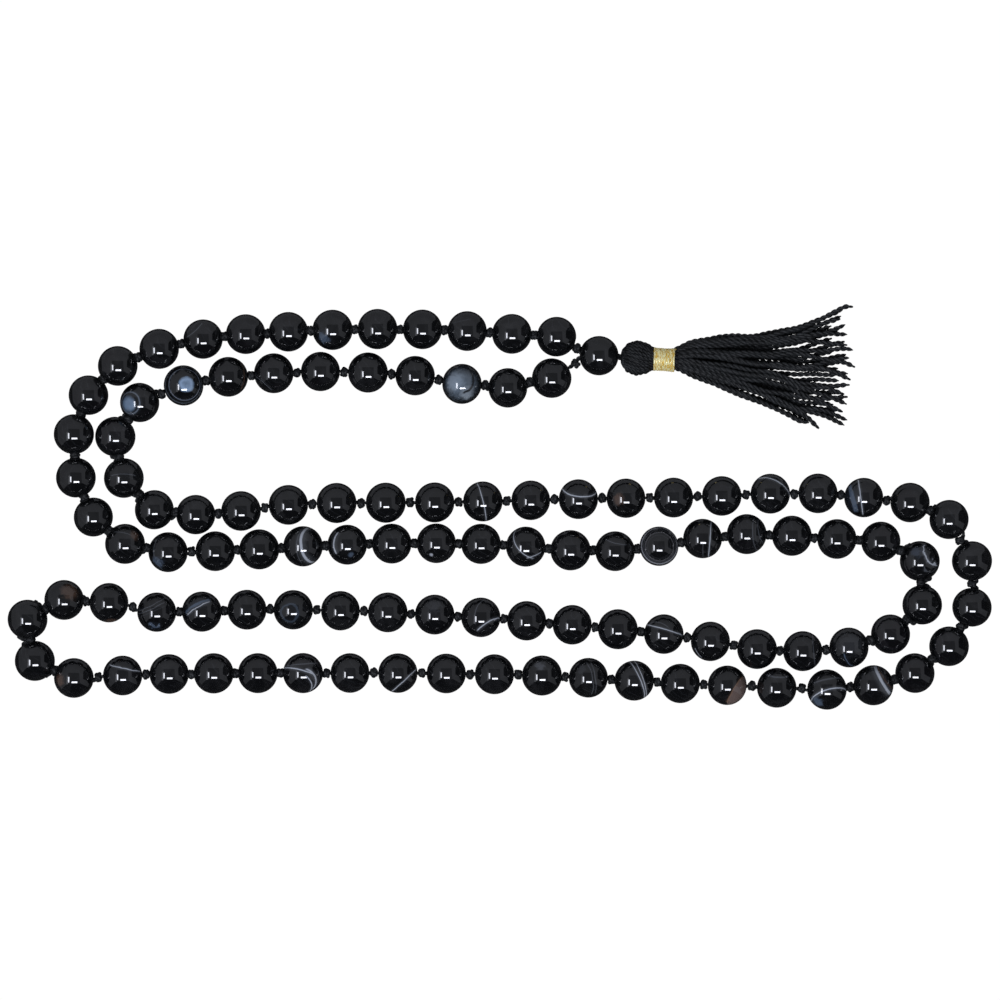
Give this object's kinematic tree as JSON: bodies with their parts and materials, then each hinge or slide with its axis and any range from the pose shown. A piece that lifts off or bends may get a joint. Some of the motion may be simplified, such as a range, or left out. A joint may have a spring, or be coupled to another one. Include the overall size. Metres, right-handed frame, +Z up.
{
  "type": "mala prayer beads",
  "caption": "Knotted black agate prayer beads in a closed loop, laid as a doubled strand in an S, with a guru bead and a gold-wrapped thread tassel.",
  "frame": {"origin": "centre of the laid-out loop's footprint, on the surface that it lies on", "axes": "+X along the S's rows, towards the tassel's threads; +Y across the rows, towards the guru bead's side; +Z up"},
  "size_m": [0.2016, 0.0827, 0.008],
  "materials": {
    "black_agate": "polished",
    "black_cotton": "matte",
    "gold_thread": "satin"
  },
  "bodies": {
    "segment_01": {"strand_a_beads_01_02": "black_agate", "strand_b_beads_01_02": "black_agate"},
    "segment_02": {"strand_a_beads_03_04": "black_agate", "strand_b_beads_03_04": "black_agate"},
    "segment_03": {"strand_a_beads_05_06": "black_agate", "strand_b_beads_05_06": "black_agate"},
    "segment_04": {"strand_a_beads_07_08": "black_agate", "strand_b_beads_07_08": "black_agate"},
    "segment_05": {"strand_a_beads_09_10": "black_agate", "strand_b_bead_09": "black_agate"},
    "segment_06": {"strand_a_beads_11_12": "black_agate", "strand_b_bead_10": "black_agate"},
    "segment_07": {"strand_a_beads_13_14": "black_agate", "strand_b_beads_11_12": "black_agate"},
    "segment_08": {"strand_a_beads_15_16": "black_agate", "strand_b_bead_13": "black_agate"},
    "segment_09": {"strand_a_beads_17_18": "black_agate", "strand_b_bead_14": "black_agate"},
    "segment_10": {"strand_a_beads_19_20": "black_agate", "strand_b_beads_15_16": "black_agate"},
    "segment_11": {"strand_a_beads_21_22": "black_agate", "strand_b_beads_17_18": "black_agate"},
    "segment_12": {"strand_a_beads_23_25": "black_agate", "strand_b_beads_19_21": "black_agate"},
    "segment_13": {"strand_a_beads_26_28": "black_agate", "strand_b_beads_22_24": "black_agate"},
    "segment_14": {"strand_a_beads_29_31": "black_agate", "strand_b_beads_25_26": "black_agate"},
    "segment_15": {"strand_a_beads_32_33": "black_agate", "strand_b_beads_27_29": "black_agate"},
    "segment_16": {"strand_a_bead_34": "black_agate", "strand_b_beads_30_31": "black_agate"},
    "segment_17": {"strand_a_bead_35": "black_agate", "strand_b_beads_32_33": "black_agate"},
    "segment_18": {"strand_a_bead_36": "black_agate", "strand_b_bead_34": "black_agate"},
    "segment_19": {"strand_a_beads_37_38": "black_agate", "strand_b_beads_35_36": "black_agate"},
    "segment_20": {"strand_a_beads_39_40": "black_agate", "strand_b_beads_37_38": "black_agate"},
    "segment_21": {"strand_a_beads_41_42": "black_agate", "strand_b_beads_39_40": "black_agate"},
    "segment_22": {"strand_a_beads_43_44": "black_agate", "strand_b_beads_41_42": "black_agate"},
    "segment_23": {"strand_a_beads_45_46": "black_agate", "strand_b_beads_43_44": "black_agate"},
    "segment_24": {"strand_a_beads_47_48": "black_agate", "strand_b_beads_45_46": "black_agate"},
    "segment_25": {"strand_a_beads_49_50": "black_agate", "strand_b_beads_47_48": "black_agate"},
    "segment_26": {"strand_a_beads_51_53": "black_agate", "strand_b_beads_49_51": "black_agate"},
    "end_loop": {"end_loop_beads": "black_agate"},
    "guru_cord": {"guru_cord": "black_cotton"},
    "guru_bead": {"guru_bead": "black_agate"},
    "tassel_head": {"tassel_head": "black_cotton", "gold_thread_wrap": "gold_thread"},
    "skirt_lock_near": {"skirt_lock_near": "black_cotton"},
    "skirt_lock_middle": {"skirt_lock_middle": "black_cotton"},
    "skirt_lock_far": {"skirt_lock_far": "black_cotton"}
  },
  "joints": [
    {"name": "guru_fold", "type": "hinge", "parent": "segment_01", "child": "guru_cord", "pos_m": [0.0155, 0.0305, 0.004], "axis": [-0.0665, -0.9978, 0], "range_deg": [-40, 40]},
    {"name": "guru_bead_spin", "type": "hinge", "parent": "guru_cord", "child": "guru_bead", "pos_m": [0.0202, 0.0306, 0.004], "axis": [0.9981, -0.0611, 0], "continuous": true},
    {"name": "tassel_swing", "type": "hinge", "parent": "guru_cord", "child": "tassel_head", "pos_m": [0.02439, 0.03034, 0.004], "axis": [0, 0, 1], "range_deg": [-8, 30]},
    {"name": "lock_near_lift", "type": "hinge", "parent": "tassel_head", "child": "skirt_lock_near", "pos_m": [0.0363, 0.0285, 0.0034], "axis": [0, -1, 0], "range_deg": [-40, 40]},
    {"name": "lock_middle_lift", "type": "hinge", "parent": "tassel_head", "child": "skirt_lock_middle", "pos_m": [0.0363, 0.0299, 0.0034], "axis": [0, -1, 0], "range_deg": [-40, 40]},
    {"name": "lock_far_lift", "type": "hinge", "parent": "tassel_head", "child": "skirt_lock_far", "pos_m": [0.0363, 0.0313, 0.0034], "axis": [0, -1, 0], "range_deg": [-40, 40]},
    {"name": "fold_01", "type": "hinge", "parent": "segment_02", "child": "segment_01", "pos_m": [-0.00273, 0.02988, 0.004], "axis": [0.0864, 0.9963, 0], "range_deg": [-45, 45]},
    {"name": "fold_02", "type": "hinge", "parent": "segment_03", "child": "segment_02", "pos_m": [-0.02148, 0.03143, 0.004], "axis": [-0.1844, -0.9828, 0], "range_deg": [-45, 45]},
    {"name": "fold_03", "type": "hinge", "parent": "segment_04", "child": "segment_03", "pos_m": [-0.04034, 0.03144, 0.004], "axis": [0.306, 0.952, 0], "range_deg": [-45, 45]},
    {"name": "fold_04", "type": "hinge", "parent": "segment_05", "child": "segment_04", "pos_m": [-0.05852, 0.02995, 0.004], "axis": [-0.3837, -0.9234, 0], "range_deg": [-40, 40]},
    {"name": "fold_05", "type": "hinge", "parent": "segment_06", "child": "segment_05", "pos_m": [-0.07187, 0.0265, 0.004], "axis": [0.5351, -0.8448, 0], "range_deg": [-45, 45]},
    {"name": "fold_06", "type": "hinge", "parent": "segment_07", "child": "segment_06", "pos_m": [-0.08125, 0.018, 0.004], "axis": [0.9945, -0.1047, 0], "range_deg": [-30, 30]},
    {"name": "fold_07", "type": "hinge", "parent": "segment_08", "child": "segment_07", "pos_m": [-0.07971, 0.0019, 0.004], "axis": [0.998, 0.0633, 0], "range_deg": [-40, 40]},
    {"name": "fold_08", "type": "hinge", "parent": "segment_09", "child": "segment_08", "pos_m": [-0.06967, -0.00517, 0.004], "axis": [0.622, 0.783, 0], "range_deg": [-30, 30]},
    {"name": "fold_09", "type": "hinge", "parent": "segment_10", "child": "segment_09", "pos_m": [-0.05592, -0.00547, 0.004], "axis": [0.4495, -0.8933, 0], "range_deg": [-45, 45]},
    {"name": "fold_10", "type": "hinge", "parent": "segment_11", "child": "segment_10", "pos_m": [-0.03726, -0.00407, 0.004], "axis": [-0.2912, 0.9567, 0], "range_deg": [-45, 45]},
    {"name": "fold_11", "type": "hinge", "parent": "segment_12", "child": "segment_11", "pos_m": [-0.01812, -0.00372, 0.004], "axis": [0.0936, -0.9956, 0], "range_deg": [-45, 45]},
    {"name": "fold_12", "type": "hinge", "parent": "segment_12", "child": "segment_13", "pos_m": [0.01043, -0.00394, 0.004], "axis": [-0.1309, -0.9914, 0], "range_deg": [-45, 45]},
    {"name": "fold_13", "type": "hinge", "parent": "segment_13", "child": "segment_14", "pos_m": [0.03871, -0.00301, 0.004], "axis": [0.3473, 0.9378, 0], "range_deg": [-45, 45]},
    {"name": "fold_14", "type": "hinge", "parent": "segment_14", "child": "segment_15", "pos_m": [0.06231, -0.00217, 0.004], "axis": [-0.4187, 0.9081, 0], "range_deg": [-45, 45]},
    {"name": "fold_15", "type": "hinge", "parent": "segment_15", "child": "segment_16", "pos_m": [0.085, -0.00538, 0.004], "axis": [0.5889, 0.8082, 0], "range_deg": [-35, 35]},
    {"name": "fold_16", "type": "hinge", "parent": "segment_16", "child": "segment_17", "pos_m": [0.09147, -0.01613, 0.004], "axis": [0.9997, -0.0239, 0], "range_deg": [-45, 45]},
    {"name": "fold_17", "type": "hinge", "parent": "segment_17", "child": "segment_18", "pos_m": [0.08588, -0.02763, 0.004], "axis": [-0.5369, 0.8437, 0], "range_deg": [-40, 40]},
    {"name": "fold_18", "type": "hinge", "parent": "segment_18", "child": "segment_19", "pos_m": [0.07824, -0.03181, 0.004], "axis": [-0.5373, 0.8434, 0], "range_deg": [-40, 40]},
    {"name": "fold_19", "type": "hinge", "parent": "segment_19", "child": "segment_20", "pos_m": [0.05956, -0.03374, 0.004], "axis": [-0.4939, 0.8695, 0], "range_deg": [-45, 45]},
    {"name": "fold_20", "type": "hinge", "parent": "segment_20", "child": "segment_21", "pos_m": [0.03998, -0.03203, 0.004], "axis": [-0.3355, 0.942, 0], "range_deg": [-45, 45]},
    {"name": "fold_21", "type": "hinge", "parent": "segment_21", "child": "segment_22", "pos_m": [0.02106, -0.0304, 0.004], "axis": [-0.2966, 0.955, 0], "range_deg": [-45, 45]},
    {"name": "fold_22", "type": "hinge", "parent": "segment_22", "child": "segment_23", "pos_m": [0.00215, -0.02914, 0.004], "axis": [-0.2506, 0.9681, 0], "range_deg": [-45, 45]},
    {"name": "fold_23", "type": "hinge", "parent": "segment_23", "child": "segment_24", "pos_m": [-0.0172, -0.02841, 0.004], "axis": [-0.1784, 0.984, 0], "range_deg": [-45, 45]},
    {"name": "fold_24", "type": "hinge", "parent": "segment_24", "child": "segment_25", "pos_m": [-0.03667, -0.02805, 0.004], "axis": [0.1517, -0.9884, 0], "range_deg": [-45, 45]},
    {"name": "fold_25", "type": "hinge", "parent": "segment_25", "child": "segment_26", "pos_m": [-0.05546, -0.02811, 0.004], "axis": [0.1784, -0.984, 0], "range_deg": [-45, 45]},
    {"name": "fold_26", "type": "hinge", "parent": "segment_26", "child": "end_loop", "pos_m": [-0.0837, -0.02752, 0.004], "axis": [-0.1534, 0.9882, 0], "range_deg": [-45, 45]}
  ]
}
